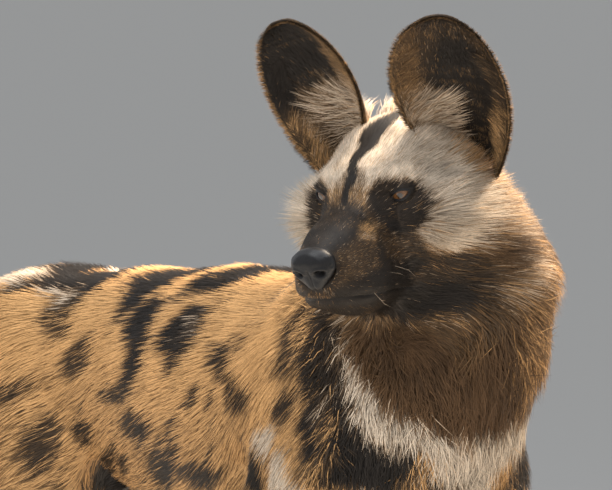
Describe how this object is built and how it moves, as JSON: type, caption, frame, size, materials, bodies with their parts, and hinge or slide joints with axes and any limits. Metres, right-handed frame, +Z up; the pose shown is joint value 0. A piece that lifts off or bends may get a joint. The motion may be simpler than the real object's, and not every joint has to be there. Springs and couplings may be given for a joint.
{
  "type": "african wild dog",
  "caption": "Life-size standing african wild dog with large round ears, its head turned over its right shoulder, a full neck ruff and a mottled black, tan and white coat.",
  "frame": {"origin": "on the floor under the middle of the animal's bounding box", "axes": "+Z up, the animal's body faces -Y and its left side is towards +X; the head is turned to its right, towards -X"},
  "size_m": [0.2906, 0.8938, 0.9042],
  "materials": {
    "coat_tan": "short rough hair, tan",
    "coat_dark": "short rough hair, black brown",
    "coat_pale": "short hair, cream white",
    "coat_brown": "long ruff hair, umber brown",
    "eye": "wet brown eye",
    "nose_leather": "moist black nose leather"
  },
  "bodies": {
    "root": {"trunk": "coat_tan", "neck": "coat_brown", "tail_base": "coat_tan", "tail_brush": "coat_pale", "foreleg_upper_left": "coat_dark", "foreleg_lower_left": "coat_pale", "forepaw_left": "coat_pale", "hindleg_upper_left": "coat_tan", "hindleg_lower_left": "coat_dark", "hindpaw_left": "coat_pale", "eye_left": "eye", "ear_left": "coat_dark", "foreleg_upper_right": "coat_dark", "foreleg_lower_right": "coat_pale", "forepaw_right": "coat_pale", "hindleg_upper_right": "coat_tan", "hindleg_lower_right": "coat_dark", "hindpaw_right": "coat_pale", "eye_right": "eye", "ear_right": "coat_dark", "head": "coat_pale", "lower_jaw": "coat_dark", "nose": "nose_leather"}
  },
  "joints": []
}
